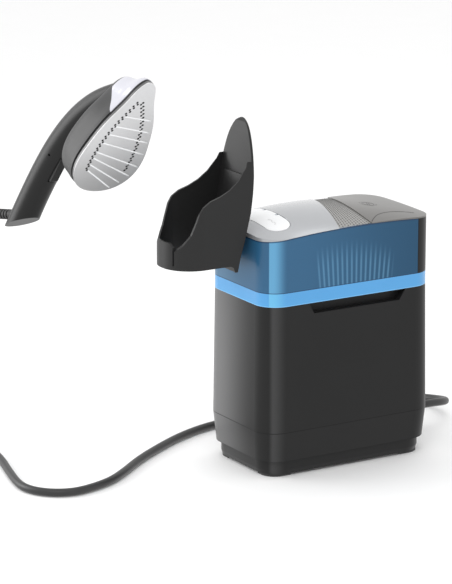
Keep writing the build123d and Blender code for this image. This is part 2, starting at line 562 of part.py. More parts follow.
def make_head():
    parts = {}
    sole = egg_block(0.0, 0, SOLE_THICK)
    holes = None
    rows = [(50, 3.2), (35, 10.5), (20, 17), (2, 22.5), (-15, 26), (-33, 27.5), (-50, 27)]
    path = Spline(*rows)
    stations = 18
    for index in range(stations):
        place = path @ (index / (stations - 1))
        for side in (-1, 1):
            for shift in (-1.4, 1.4):
                hole = rod(place.X + shift, side * (place.Y + shift * 0.6), -1, SOLE_THICK + 1, 1.25)
                holes = [hole] if holes is None else holes + [hole]
    sole = sole - holes
    parts["sole_plate"] = sole

    chamber = egg_slab(64, -77, 37.0, SOLE_THICK, 15) - egg_slab(60, -73, 33.0, SOLE_THICK, 12.5)
    screws = None
    for x, y in ((44, 0), (-10, 24), (-10, -24), (-66, 0)):
        chamber -= rod(x, y, 12, 16, 1.8)
        screw = rod(x, y, 12.5, 15, 1.8) + rod(x, y, 15, 17.5, 3.4)
        screws = screw if screws is None else screws + screw
    chamber += rod(4, 0, 15, 22, 5) - rod(4, 0, 12, 22, 3)
    chamber -= rod(4, 0, 12, 16, 3)
    parts["steam_chamber"] = chamber
    parts["chamber_screws"] = screws
    parts["head_gasket"] = egg_block(-1.6, SOLE_THICK, GASKET_TOP) - egg_block(
        -6.6, SOLE_THICK, GASKET_TOP)

    block_out = head_block()
    block_in = head_block(2.6, 2.6)
    handle_out = handle_block()
    handle_in = handle_block(HANDLE_WALL)
    pipe, _ = tube(STEAM_PIPE_POINTS, 3.0, STEAM_PIPE_BENDS)
    passage, _ = tube(STEAM_PIPE_POINTS, 4.0, STEAM_PIPE_BENDS)
    parts["steam_pipe"] = pipe

    shell = block_out - block_in
    wedge = prism_y([(28, 0), (31, 7), (39.5, 34.6), (41, 40), (120, 40), (120, 0)], -60, 60)
    nose = shell & wedge
    shell = shell - wedge
    parts["head_shell"] = shell - passage
    parts["nose_cover"] = nose - handle_out

    casing = handle_out - handle_in - block_out
    ends = end_cut()
    upper = handle_upper()
    parts["spine_cover"] = (casing & upper) - ends - on_cuff(-6, 8, 7.2)
    body = (casing - upper) - ends - passage
    slot = block(-137, -97, -5.6, 5.6, 60, 86)
    body -= slot & handle_block()
    body += (rod_along_y(-101.5, -15, -5.6, 82, 3.4) + rod_along_y(-101.5, 5.6, 15, 82, 3.4)) & handle_block(1)
    body -= rod_along_y(-101.5, -20, 20, 82, 1.5)
    parts["handle_body"] = max(body.solids(), key=lambda piece: piece.volume)
    cap = (handle_in - on_cuff(-20, 10, 6.3)) & (end_cut(-2.5) - end_cut(0.0))
    parts["handle_end_cap"] = cap

    lever = block(-134.5, -97.8, -5.0, 5.0, 70.6, 78)
    lever = fillet(lever.edges().filter_by(Axis.Y).group_by(Axis.Z)[0], 2.5)
    lever += block(-105, -98.5, -5.0, 5.0, 77, 85)
    lever -= rod_along_y(-101.5, -10, 10, 82, 1.55)
    parts["trigger"] = lever
    parts["trigger_pin"] = rod_along_y(-101.5, -12.5, 12.5, 82, 1.5)
    parts["trigger_spring"] = Pos(-128, 0, 78.6) * coil_spring(3.0, 0.35, 10.2, 4)
    switch = block(-134, -114, -5, 5, 89.3, 96)
    switch += block(-120, -117, -1.5, 1.5, 80.8, 89.3)
    parts["microswitch"] = switch - passage

    cuff = on_cuff(0, 8, 6.2)
    for index in range(7):
        start = 8 + index * 6.0
        cuff += on_cuff(start, start + 3.6, 6.2) + on_cuff(start + 3.6, start + 6.0, 5.2)
    cuff += on_cuff(50, CUFF_LENGTH, 5.8)
    cuff -= on_cuff(-1, CUFF_LENGTH - 10, 3.2)
    parts["hose_cuff"] = cuff
    for name, shape in parts.items():
        add(name, HEAD.location * shape)


# ---------------------------------------------------------------- hose
FLOOR = HOSE_DIAMETER / 2 + 0.05
HOSE_FLOOR_POINTS = [
    (GLAND_END_X, GLAND_Y, GLAND_Z), (172, GLAND_Y, GLAND_Z), (197, 22, 27), (216, 44, 20), (223, 75, 13),
    (216, 106, 8.5), (194, 129, FLOOR), (160, 140, FLOOR), (108, 141, FLOOR), (50, 147, FLOOR),
    (-10, 151, FLOOR), (-66, 147, FLOOR), (-118, 128, FLOOR), (-166, 100, FLOOR), (-212, 69, FLOOR),
    (-252, 35, FLOOR), (-284, 13, FLOOR), (-326, 0.7, FLOOR), (-348.7, 4.7, FLOOR),
    (-367.1, 18.6, FLOOR), (-377.2, 39.3, FLOOR), (-376.8, 63.5, FLOOR), (-364.5, 110, FLOOR),
    (-350, 158, FLOOR)]
HOSE_RISER_POINTS = [
    (-350, 158, FLOOR), (-343, 210, 6.5), (-341, 259, 19), (-337, 301, 47), (-332, 332, 88),
    (-326, 347, 134), (-319, 349, 180), (-314, 336, 224), (-310, 308, 258)]


def make_hose():
    end = HEAD.location * cuff_plane(CUFF_LENGTH + 0.3).location
    tip = Vector(*end.position)
    direction = Plane(end).z_dir
    before = tip + direction * 26.0
    riser = HOSE_RISER_POINTS + [tuple(before), tuple(tip)]
    floor = list(HOSE_FLOOR_POINTS)
    joint = (Vector(*floor[-2]) + Vector(*floor[-1])) * 0.5
    whole = floor + riser[1:]
    first_half = floor[:-1] + [tuple(joint)]
    second_half = [tuple(joint)] + riser
    total = 0.0
    for name, points in (("hose_floor", first_half), ("hose_riser", second_half)):
        radii = even_bends(points)
        shape, path = tube(points, HOSE_DIAMETER / 2, radii)
        add(name, shape)
        total += path.length
        expected = math.pi * HOSE_DIAMETER ** 2 / 4 * path.length
        print(name, "radii", [round(r) for r in radii], "length", round(path.length),
              "volume ratio", round(shape.volume / expected, 4), "lowest", round(shape.bounding_box().min.Z, 2))
    print("hose length", round(total), "points", len(whole))
    print("hose end", tuple(round(c, 2) for c in tip), "before", tuple(round(c, 2) for c in before))


def main():
    make_feet()
    make_casing()
    make_tank()
    make_top()
    make_internals()
    make_tubes()
    make_dock()
    make_head()
    make_hose()
    os.makedirs("parts", exist_ok=True)
    for name, shape in nodes.items():
        export_step(shape, f"parts/{name}.step")
    print(len(nodes), "nodes")


main()
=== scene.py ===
"""The looks of a garment steam station: finishes, the hose, raised details, floor, light and camera."""
import math

import bmesh
import bpy
from mathutils import Matrix, Vector
from mathutils.bvhtree import BVHTree


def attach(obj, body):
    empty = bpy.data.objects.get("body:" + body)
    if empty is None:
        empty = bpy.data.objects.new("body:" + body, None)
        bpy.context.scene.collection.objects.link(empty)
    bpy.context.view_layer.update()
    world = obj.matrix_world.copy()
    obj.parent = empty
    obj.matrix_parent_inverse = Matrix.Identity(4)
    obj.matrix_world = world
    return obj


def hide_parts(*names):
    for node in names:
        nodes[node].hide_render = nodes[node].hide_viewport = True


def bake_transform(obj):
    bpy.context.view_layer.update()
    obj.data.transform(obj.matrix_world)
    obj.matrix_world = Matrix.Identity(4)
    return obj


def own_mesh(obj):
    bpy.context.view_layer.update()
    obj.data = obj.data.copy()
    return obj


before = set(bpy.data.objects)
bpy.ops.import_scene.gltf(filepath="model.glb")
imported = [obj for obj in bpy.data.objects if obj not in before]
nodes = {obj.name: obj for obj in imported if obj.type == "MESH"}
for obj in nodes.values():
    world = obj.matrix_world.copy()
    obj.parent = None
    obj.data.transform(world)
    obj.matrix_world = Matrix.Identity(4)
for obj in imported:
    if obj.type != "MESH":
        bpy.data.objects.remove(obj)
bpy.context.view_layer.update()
MM = 0.001

# where the station's shells meet, the middle of its near left corner's arc, and the arch over the tank
PLINTH_TOP, SKIRT_TOP, TRIM_LOW, TANK_LOW = 20 * MM, 56 * MM, 209 * MM, 225 * MM
LEFT_END, FRONT, CORNER_X, CORNER_Y = -117 * MM, -69 * MM, -90 * MM, -42 * MM
ARCH_TOP, ARCH_X, ARCH_RADIUS = 294 * MM, 20 * MM, 1250 * MM
BUTTON_X, BUTTON_Y = 60.0, -10.0            # mm

HEAD_CENTRE = Vector((-0.265, 0.0056, 0.4169))
HEAD_PITCH, HEAD_YAW = math.radians(31.5), math.radians(9.1)


# ---------------------------------------------------------------- shader arithmetic
class Value:
    """A shader socket that takes part in Python arithmetic: each operation adds a Math node."""

    def __init__(self, finish, socket):
        self.finish = finish
        self.socket = socket

    def maths(self, operation, first, second):
        return self.finish.add("ShaderNodeMath", {"operation": operation}, {0: first, 1: second})

    def __add__(self, other):
        return self.maths("ADD", self, other)

    def __radd__(self, other):
        return self.maths("ADD", other, self)

    def __sub__(self, other):
        return self.maths("SUBTRACT", self, other)

    def __rsub__(self, other):
        return self.maths("SUBTRACT", other, self)

    def __mul__(self, other):
        return self.maths("MULTIPLY", self, other)

    def __rmul__(self, other):
        return self.maths("MULTIPLY", other, self)

    def __truediv__(self, other):
        return self.maths("DIVIDE", self, other)

    def __abs__(self):
        return self.maths("ABSOLUTE", self, 0.0)

    def wave(self):
        """The sine of a value in radians."""
        return self.maths("SINE", self, 0.0)

    def rise(self, low, high):
        """0 below low, 1 above high, and smooth between them."""
        return self.finish.add(
            "ShaderNodeMapRange", {"interpolation_type": "SMOOTHSTEP"}, {0: self, 1: low, 2: high})


class Finish:
    """One procedural finish and what adds nodes to it."""

    def __init__(self, name):
        self.material = bpy.data.materials.new(name)
        self.material.use_nodes = True
        self.tree = self.material.node_tree
        self.shader = self.tree.nodes["Principled BSDF"]
        self.point = self.add("ShaderNodeTexCoord", output="Object")

    def feed(self, socket, value):
        if isinstance(value, Value):
            self.tree.links.new(value.socket, socket)
        else:
            socket.default_value = value

    def add(self, kind, settings=(), inputs=(), output=0):
        """A node of that kind, with its settings first and then its sockets; gives one output."""
        node = self.tree.nodes.new(kind)
        for name, setting in dict(settings).items():
            setattr(node, name, setting)
        for key, value in dict(inputs).items():
            self.feed(node.inputs[key], value)
        return Value(self, node.outputs[output])

    def axes(self):
        """The point's x, y and z in the row frame."""
        return [self.add("ShaderNodeSeparateXYZ", (), {0: self.point}, axis) for axis in range(3)]

    def noise(self, scale, detail=2.0):
        return self.add("ShaderNodeTexNoise", (), {"Vector": self.point, "Scale": scale, "Detail": detail})

    def mix(self, factor, low, high):
        """From colour low to colour high."""
        return self.add("ShaderNodeMix", {"data_type": "RGBA"}, {0: factor, 6: low, 7: high}, 2)

    def bump(self, height, distance, strength=1.0):
        return self.add("ShaderNodeBump", (), {
            "Height": height, "Distance": distance, "Strength": strength})

    def surface(self, **inputs):
        """Sets the main shader's sockets, named as in the shader with _ for each space."""
        for name, value in inputs.items():
            self.feed(self.shader.inputs[name.replace("_", " ")], value)
        return self.material


def shade(colour, amount=1.0):
    """A colour from three linear parts, made darker or lighter."""
    return tuple(min(1.0, part * amount) for part in colour) + (1.0,)


def grey(level):
    return (level, level, level * 1.01)


# ---------------------------------------------------------------- finishes
def moulded(name, colour, roughness, grain=0.03, size=900.0, spread=0.08, **extra):
    """Moulded plastic or rubber: a fine grain, slight clouds of colour and uneven gloss."""
    finish = Finish(name)
    cloud = finish.noise(14.0, 3.0)
    fine = finish.noise(size, 2.0)
    return finish.surface(
        Base_Color=finish.mix(cloud, shade(colour, 1 - spread), shade(colour, 1 + spread)),
        Roughness=roughness + (cloud - 0.5) * 0.08 + (fine - 0.5) * 0.04,
        Normal=finish.bump(fine, grain * MM, 0.6), **extra)


def metal(name, colour, roughness, stretch=(1.0, 1.0, 30.0)):
    """Metal with faint lines drawn in one direction."""
    finish = Finish(name)
    drawn = finish.add("ShaderNodeMapping", (), {"Vector": finish.point, "Scale": stretch})
    lines = finish.add("ShaderNodeTexNoise", (), {"Vector": drawn, "Scale": 120.0, "Detail": 4.0})
    return finish.surface(
        Base_Color=finish.mix(lines, shade(colour, 0.88), shade(colour, 1.08)),
        Roughness=roughness + (lines - 0.5) * 0.16, Metallic=1.0,
        Normal=finish.bump(lines, 0.02 * MM, 0.5))


def painted_corner_highlight(x, y, crisp):
    """Painted highlight, 1 on the rounded near left corner: its left edge is crisp mm wide, and it fades
    along the front.
    """
    along = (x - CORNER_X) * 0.88 - (y - CORNER_Y) * 0.47
    left_edge = along.rise(-9 * MM, (crisp - 9) * MM)
    fading = 1 - along.rise(-4 * MM, 14 * MM)
    near_side = 1 - y.rise(-30 * MM, -20 * MM)
    return left_edge * fading * near_side


def left_end_highlight(x, y, depth, near, far):
    """Painted highlight, 1 on the left end, rising from near to far along it."""
    outermost = LEFT_END - MM
    return (1 - x.rise(outermost, outermost + depth)) * y.rise(near, far)


def casing_black():
    """The base's satin black: dark lines where its shells meet, and painted highlights that make its left end
    and corner lighter.
    """
    finish = Finish("casing_black")
    x, y, z = finish.axes()
    end = left_end_highlight(x, y, 10 * MM, -46 * MM, 74 * MM)
    cloud = finish.noise(9.0, 2.0)
    fine = finish.noise(1100.0, 2.0)
    seam = 1 - abs(z - SKIRT_TOP).rise(0.25 * MM, 0.7 * MM)
    step = 1 - abs(z - PLINTH_TOP).rise(0.2 * MM, 0.6 * MM)
    plain = finish.mix(cloud, shade(grey(0.012)), shade(grey(0.016)))
    # painted highlights: the left end made lighter, then a lighter strip on the rounded near left corner
    plain = finish.mix(end, plain, shade(grey(0.19)))
    plain = finish.mix(painted_corner_highlight(x, y, 6.0) * 0.8, plain, shade(grey(0.055)))
    return finish.surface(
        Base_Color=finish.mix(seam * 0.8 + step * 0.5, plain, shade(grey(0.004))),
        Roughness=0.36 + (fine - 0.5) * 0.05, Specular_IOR_Level=0.2,
        Normal=finish.bump(fine * 0.25 - seam * 3.0, 0.05 * MM, 0.5))


def tank_blue():
    """Tinted tank: a fan of pale streaks on its front, where the ribs are inside, and painted highlights on
    its left end and near left corner.
    """
    finish = Finish("tank_blue")
    x, y, z = finish.axes()
    fan_middle, fan_reach, pitch, rib_height = 4.4 * MM, 54 * MM, 6.3 * MM, 50 * MM
    height = (z - TANK_LOW - 2 * MM) / rib_height
    fanned = (x - fan_middle) / (height * 0.10 + 1.0)
    across = abs(fanned) / fan_reach
    stripe = (fanned * (2 * math.pi / pitch)).wave() * 0.5 + 0.5
    out = x / (60 * MM)
    arch = height + out * out * 0.28 + out * 0.10
    fade = (1 - arch.rise(0.45, 1.10)) * (1 - across.rise(0.86, 1.0))
    streaks = stripe.rise(0.35, 1.0) * fade * (1 - y.rise(FRONT + MM, FRONT + 3 * MM))
    along = x.rise(-90 * MM, 110 * MM)
    cloud = finish.noise(16.0, 3.0)
    body = finish.mix(along, (0.026, 0.108, 0.215, 1.0), (0.006, 0.058, 0.125, 1.0))
    body = finish.mix(cloud * 0.25, body, (0.015, 0.082, 0.170, 1.0))
    # painted highlights: a paler left end and a pale streak on the rounded near left corner
    end = left_end_highlight(x, y, 6 * MM, -50 * MM, 60 * MM)
    body = finish.mix(end * 0.6, body, (0.120, 0.230, 0.340, 1.0))
    body = finish.mix(painted_corner_highlight(x, y, 1.2) * 0.85, body, (0.125, 0.370, 0.600, 1.0))
    body = finish.mix(streaks * 0.34, body, (0.15, 0.38, 0.60, 1.0))
    from_crest = x - ARCH_X
    under_arch = (ARCH_TOP - z) - from_crest * from_crest * (0.5 / ARCH_RADIUS)
    rim = 1 - (z - TANK_LOW).rise(0.4 * MM, 1.6 * MM) * under_arch.rise(0.9 * MM, 1.8 * MM)
    return finish.surface(
        Base_Color=finish.mix(rim * 0.75, body, (0.010, 0.035, 0.085, 1.0)),
        Roughness=0.22 + cloud * 0.05, Coat_Weight=0.12, Coat_Roughness=0.08, Specular_IOR_Level=0.3,
        Normal=finish.bump(streaks, 0.10 * MM, 0.5))


def trim_blue():
    """The light blue band, paler along its lower edge, with a painted highlight on its near left corner."""
    finish = Finish("trim_blue")
    x, y, z = finish.axes()
    cloud = finish.noise(20.0, 2.0)
    lower_edge = 1 - (z - TRIM_LOW).rise(0.4 * MM, 1.3 * MM)
    plain = finish.mix(cloud, (0.062, 0.310, 0.640, 1.0), (0.072, 0.335, 0.680, 1.0))
    # painted highlight on the rounded near left corner
    plain = finish.mix(painted_corner_highlight(x, y, 1.2) * 0.6, plain, (0.150, 0.520, 0.760, 1.0))
    return finish.surface(
        Base_Color=finish.mix(lower_edge * 0.5, plain, (0.25, 0.60, 0.95, 1.0)),
        Roughness=0.24 + cloud * 0.05, Coat_Weight=0.4, Coat_Roughness=0.1)


def sole_satin():
    """Light satin plate: a fine mottle, painted shade that darkens it towards its rear end, and dark behind
    its face.
    """
    finish = Finish("sole_satin")
    _, y, z = finish.axes()
    lines = finish.noise(420.0, 4.0)
    # painted shade: light grey at the plate's top, darker grey lower down
    painted_heel_shade = 1 - z.rise(338 * MM, 430 * MM)
    depth = (y - HEAD_CENTRE.y) * math.cos(HEAD_PITCH) + (z - HEAD_CENTRE.z) * math.sin(HEAD_PITCH)
    plain = finish.mix(painted_heel_shade, shade(grey(0.74)), shade(grey(0.36)))
    plain = finish.mix(depth.rise(0.4 * MM, 0.9 * MM), plain, shade(grey(0.10)))
    return finish.surface(
        Base_Color=finish.mix(lines * 0.15, plain, shade(grey(0.42))),
        Roughness=0.34 + (lines - 0.5) * 0.12, Metallic=0.35,
        Normal=finish.bump(lines, 0.015 * MM, 0.4))


def hose_black():
    """A satin hose sleeve with a very fine relief."""
    finish = Finish("hose_black")
    fine = finish.noise(700.0, 3.0)
    cloud = finish.noise(30.0, 2.0)
    return finish.surface(
        Base_Color=finish.mix(cloud, shade(grey(0.016)), shade(grey(0.030))),
        Roughness=0.42 + (fine - 0.5) * 0.12, Normal=finish.bump(fine, 0.08 * MM, 0.5))


GLOSS = {"Coat_Weight": 0.5, "Coat_Roughness": 0.05}
DULL = {"Specular_IOR_Level": 0.25}
finishes = {
    "casing": casing_black(),
    "tank": tank_blue(),
    "trim": trim_blue(),
    "sole": sole_satin(),
    "hose": hose_black(),
    "rubber": moulded("soft_black", grey(0.012), 0.60, 0.06, 600.0),
    "tower": moulded("tower_black", grey(0.008), 0.34, 0.01, 900.0, **DULL),
    "dome": moulded("dome_silver", (0.40, 0.41, 0.425), 0.20, 0.006, 700.0, 0.03, Metallic=0.35, **GLOSS),
    "band": moulded("band_grey", (0.31, 0.305, 0.295), 0.42, 0.03, 800.0),
    "dash": moulded("dash_grey", (0.115, 0.113, 0.110), 0.40, 0.02, 800.0),
    "panel": moulded("panel_grey", (0.170, 0.165, 0.158), 0.34, 0.02, 1000.0, 0.05, Metallic=0.3),
    "icon": moulded("icon_dark", grey(0.022), 0.4, 0.01, 900.0),
    "door": moulded("door_white", (0.86, 0.87, 0.88), 0.16, 0.005, 700.0, 0.02, **GLOSS),
    "door_icon": moulded("door_icon_grey", grey(0.52), 0.3, 0.01, 900.0),
    "dock": moulded("dock_dark", grey(0.018), 0.38, 0.03, 1000.0, **DULL),
    "shell": moulded("shell_grey", grey(0.045), 0.40, 0.03, 1000.0, 0.05, **DULL),
    "spine": moulded("spine_grey", grey(0.030), 0.38, 0.03, 1000.0, 0.05, **DULL),
    "handle": moulded("handle_dark", grey(0.010), 0.36, 0.03, 1000.0, **DULL),
    "nose": moulded("nose_white", (0.55, 0.55, 0.60), 0.14, 0.005, 700.0, 0.02, **GLOSS),
    # painted shade: near black for the inside of the steam holes
    "vent": moulded("vent_hole_shade", grey(0.006), 0.6, 0.01, 900.0),
    "inner": moulded("inner_white", (0.55, 0.60, 0.66), 0.30, 0.01, 700.0),
    "tube": moulded("silicone", (0.60, 0.61, 0.60), 0.45, 0.03, 500.0),
    "pump": moulded("pump_grey", grey(0.20), 0.45, 0.03, 700.0),
    "board": moulded("board_green", (0.02, 0.11, 0.045), 0.42, 0.03, 1200.0, 0.15),
    "steel": metal("steel", (0.58, 0.58, 0.60), 0.30),
    "cast": metal("cast_aluminium", (0.52, 0.52, 0.53), 0.48, (1.0, 1.0, 1.0)),
    "dark_cast": metal("dark_cast", (0.06, 0.06, 0.06), 0.55, (1.0, 1.0, 1.0)),
    "brass": metal("brass", (0.62, 0.43, 0.16), 0.28),
}
worn_by = {
    "casing": ["base_plate", "base_skirt", "base_housing", "grip_recess", "chassis_deck"],
    "tank": ["water_tank"],
    "trim": ["trim_band"],
    "tower": ["rear_tower"],
    "rubber": ["foot_ring", "tank_seal", "boiler_gasket", "pump_mounts", "hose_gland", "mains_inlet",
               "head_gasket", "hose_cuff"],
    "dome": ["top_dome"],
    "band": ["grip_band"],
    "panel": ["control_panel", "power_button"],
    "door": ["fill_door"],
    "dock": ["dock_shell", "dock_bracket", "dock_rest_pad"],
    "sole": ["sole_plate"],
    "shell": ["head_shell"],
    "spine": ["spine_cover"],
    "handle": ["handle_body", "handle_end_cap", "trigger"],
    "nose": ["nose_cover"],
    "inner": ["fill_funnel", "tank_cover"],
    "tube": ["water_tube", "feed_tube", "steam_tube", "steam_pipe"],
    "pump": ["pump", "tank_valve", "thermostat", "button_switch", "microswitch"],
    "board": ["control_board"],
    "steel": ["door_pin", "boiler_bolts", "heating_element", "button_spring", "chamber_screws",
              "trigger_pin", "trigger_spring"],
    "cast": ["boiler_lower", "boiler_upper"],
    "dark_cast": ["steam_chamber"],
    "brass": ["steam_valve", "safety_valve"],
}


def dress():
    for finish, names in worn_by.items():
        for name in names:
            mesh = nodes[name].data
            mesh.materials.clear()
            mesh.materials.append(finishes[finish])


# ---------------------------------------------------------------- making meshes
def new_piece(name, shape, finish, body, smooth=True):
    """A piece from a bmesh, with its finish. It rides on its body, unless it has none."""
    mesh = bpy.data.meshes.new(name)
    shape.to_mesh(mesh)
    shape.free()
    mesh.materials.append(finishes[finish])
    for polygon in mesh.polygons:
        polygon.use_smooth = smooth
    piece = bpy.data.objects.new(name, mesh)
    bpy.context.scene.collection.objects.link(piece)
    if body:
        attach(piece, body)
    return piece


def close_off(mesh, first, last):
    """Faces all round between two rings, and one over each of them."""
    join_rings(mesh, first, last)
    mesh.faces.new(list(reversed(first)))
    mesh.faces.new(last)


def join_rings(mesh, here, after):
    """Faces all round between two rings."""
    for step in range(len(here)):
        following = (step + 1) % len(here)
        mesh.faces.new((here[step], here[following], after[following], after[step]))


def sweep(mesh, points, radius, sides=20, flatten=1.0, up=None):
    """A tube along points, added to a bmesh. With up given it is flattened in that direction."""
    rings = []
    side = Vector((0, 0, 1)) if up is None else up
    for index, point in enumerate(points):
        ahead = points[min(index + 1, len(points) - 1)] - points[max(index - 1, 0)]
        ahead.normalize()
        if up is None:
            side = (side - ahead * side.dot(ahead)).normalized()
            across = ahead.cross(side)
            rise = side
        else:
            across = ahead.cross(up).normalized()
            rise = across.cross(ahead).normalized() * flatten
        ring = []
        for step in range(sides):
            angle = 2 * math.pi * step / sides
            offset = across * (radius * math.cos(angle)) + rise * (radius * math.sin(angle))
            ring.append(mesh.verts.new(point + offset))
        rings.append(ring)
    for here, after in zip(rings, rings[1:]):
        join_rings(mesh, here, after)
    mesh.faces.new(list(reversed(rings[0])))
    mesh.faces.new(rings[-1])


def smooth_line(points, resolution=8):
    """Points along a smooth curve that has these as its control points, found from a curve made for that."""
    curve = bpy.data.curves.new("route", "CURVE")
    curve.dimensions = "3D"
    curve.resolution_u = resolution
    spline = curve.splines.new("NURBS")
    spline.points.add(len(points) - 1)
    for point, place in zip(spline.points, points):
        point.co = (*place, 1.0)
    spline.order_u = 3
    spline.use_endpoint_u = True
    route = bpy.data.objects.new("route", curve)
    bpy.context.scene.collection.objects.link(route)
    bpy.context.view_layer.update()
    line = bpy.data.meshes.new_from_object(route)
    found = [vertex.co.copy() for vertex in line.vertices]
    bpy.data.objects.remove(route)
    bpy.data.curves.remove(curve)
    bpy.data.meshes.remove(line)
    return found


# ---------------------------------------------------------------- hose
HOSE_DIAMETER = 0.0096
LYING = HOSE_DIAMETER / 2 + 0.00005
HOSE_POINTS = [
    (0.150, 0.014, 0.031), (0.172, 0.014, 0.031), (0.197, 0.022, 0.027), (0.216, 0.044, 0.020),
    (0.223, 0.075, 0.013), (0.216, 0.106, 0.0085), (0.194, 0.129, LYING), (0.160, 0.140, LYING),
    (0.108, 0.141, LYING), (0.050, 0.147, LYING), (-0.010, 0.151, LYING), (-0.066, 0.147, LYING),
    (-0.118, 0.128, LYING), (-0.166, 0.100, LYING), (-0.212, 0.069, LYING), (-0.252, 0.035, LYING),
    (-0.284, 0.013, LYING), (-0.326, 0.0007, LYING), (-0.3487, 0.0047, LYING),
    (-0.3671, 0.0186, LYING), (-0.3772, 0.0393, LYING), (-0.3768, 0.0635, LYING),
    (-0.3645, 0.110, LYING), (-0.350, 0.158, LYING), (-0.343, 0.210, 0.0065),
    (-0.341, 0.259, 0.019), (-0.337, 0.301, 0.047), (-0.332, 0.332, 0.088), (-0.326, 0.347, 0.134),
    (-0.319, 0.349, 0.180), (-0.314, 0.336, 0.224), (-0.310, 0.308, 0.258),
    (-0.30744, 0.28312, 0.27617), (-0.30475, 0.25759, 0.28028)]


def make_hose():
    line = smooth_line(HOSE_POINTS)
    mesh = bmesh.new()
    sweep(mesh, line, HOSE_DIAMETER / 2)
    hose = new_piece("steam_hose", mesh, "hose", None)
    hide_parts("hose_floor", "hose_riser")
    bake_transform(hose)


# ---------------------------------------------------------------- raised details
def surface_of(name):
    """A way to find a node's upper surface under a point of the plan."""
    mesh = bmesh.new()
    mesh.from_mesh(nodes[name].data)
    tree = BVHTree.FromBMesh(mesh)
    mesh.free()

    def drop(x, y):
        hit, normal, _, _ = tree.ray_cast(Vector((x, y, 0.6)), Vector((0, 0, -1)))
        return (hit, normal) if hit is not None else (None, None)
    return drop


def arc_through(first, middle, last):
    """The x on a circle through three points of the plan, as a function of y."""
    (ax, ay), (bx, by), (cx, cy) = first, middle, last
    twice = 2 * (ax * (by - cy) + bx * (cy - ay) + cx * (ay - by))
    squares = [x * x + y * y for x, y in (first, middle, last)]
    ux = (squares[0] * (by - cy) + squares[1] * (cy - ay) + squares[2] * (ay - by)) / twice
    uy = (squares[0] * (cx - bx) + squares[1] * (ax - cx) + squares[2] * (bx - ax)) / twice
    radius = math.hypot(ax - ux, ay - uy)
    side = 1 if bx > ux else -1
    return lambda y: ux + side * math.sqrt(max(radius * radius - (y - uy) ** 2, 0.0))


def add_dash(mesh, place, normal, along, length, width, height):
    """One small raised dash with sloping sides."""
    across = normal.cross(along).normalized()
    along = across.cross(normal).normalized()
    outline = [(-1.0, 0.0), (-0.75, -1.0), (0.75, -1.0), (1.0, 0.0), (0.75, 1.0), (-0.75, 1.0)]
    rings = []
    for size, lift in ((1.0, -0.1 * MM), (0.62, height)):
        rings.append([mesh.verts.new(
            place + along * (u * length / 2 * size) + across * (v * width / 2 * size) + normal * lift)
            for u, v in outline])
    close_off(mesh, *rings)


def make_knurl():
    """Rows of dashes that follow the crescent across the top."""
    left = arc_through((-22 * MM, -90 * MM), (0.0, 5 * MM), (30 * MM, 90 * MM))
    right = arc_through((32 * MM, -90 * MM), (29 * MM, 5 * MM), (68 * MM, 90 * MM))
    drop = surface_of("grip_band")
    mesh = bmesh.new()
    rows, step = 11, 3.7 * MM
    near, far, lowest = -66 * MM, 67 * MM, 288 * MM
    length, width, height = 3.1 * MM, 1.4 * MM, 0.45 * MM
    for row in range(rows):
        share = (row + 0.75) / (rows + 0.5)
        y = near + (row % 2) * step / 2
        while y < far:
            x = left(y) * (1 - share) + right(y) * share
            ahead = left(y + MM) * (1 - share) + right(y + MM) * share
            place, normal = drop(x, y)
            if place is not None and place.z > lowest:
                add_dash(mesh, place, normal, Vector((ahead - x, MM, 0)), length, width, height)
            y += step
    new_piece("grip_dashes", mesh, "dash", "root", smooth=False)


def laid_line(node, plan, resolution=6):
    """A smooth line of the plan, laid on a node's upper surface."""
    drop = surface_of(node)
    found = []
    for point in smooth_line([(x * MM, y * MM, 0.0) for x, y in plan], resolution):
        place, _ = drop(point.x, point.y)
        if place is not None:
            found.append(place)
    return found


def make_line(name, node, plan, width, height, finish, body):
    """A low raised line on a surface."""
    mesh = bmesh.new()
    sweep(mesh, laid_line(node, plan), width / 2, 10, height / (width / 2), Vector((0, 0, 1)))
    return new_piece(name, mesh, finish, body)


def make_panel_details():
    """A crease across the panel, drawn as a dark line of painted shade, and the button's ring round two plain
    waves.
    """
    crease = [(29, -66), (40, -55), (56, -47), (74, -44), (88, -46), (98, -52)]
    make_line("panel_crease_shade", "control_panel", crease, 0.9 * MM, 0.25 * MM, "icon", "root")
    radius, parts = 7.4, 40
    ring = [(BUTTON_X + radius * math.cos(2 * math.pi * i / parts),
             BUTTON_Y + radius * math.sin(2 * math.pi * i / parts)) for i in range(parts + 1)]
    make_line("button_ring", "power_button", ring, 0.9 * MM, 0.2 * MM, "icon", "power_button")
    wave = [(57.2, -13.5), (59.6, -11.5), (57.8, -9.6), (60.0, -7.4)]
    for index, shift in enumerate((0.0, 2.8)):
        drawn = [(x + shift, y) for x, y in wave]
        make_line(f"button_wave_{index}", "power_button", drawn, 0.8 * MM, 0.2 * MM, "icon",
                  "power_button")


def make_door_icon():
    """A plain wave, for water."""
    wave = [(-86.5, -36), (-82.5, -32), (-86.5, -28), (-82.5, -24), (-86.5, -20)]
    make_line("door_wave", "fill_door", wave, 0.8 * MM, 0.15 * MM, "door_icon", "fill_door")


# ---------------------------------------------------------------- steam head details
def head_matrix():
    """From the steam head's own axes to the row frame: x to the sole's tip, z from its face to the handle."""
    up_plate = Vector((0, -math.sin(HEAD_PITCH), math.cos(HEAD_PITCH)))
    tip = up_plate * math.cos(HEAD_YAW) + Vector((1, 0, 0)) * math.sin(HEAD_YAW)
    away = Vector((0, math.cos(HEAD_PITCH), math.sin(HEAD_PITCH)))
    side = away.cross(tip)
    rotation = Matrix((tip, side, away)).transposed().to_4x4()
    return Matrix.Translation(HEAD_CENTRE) @ rotation


HEAD = head_matrix()


def on_head(x, y, z):
    """A point of the steam head's own axes, in mm, in the row frame."""
    return HEAD @ Vector((x * MM, y * MM, z * MM))


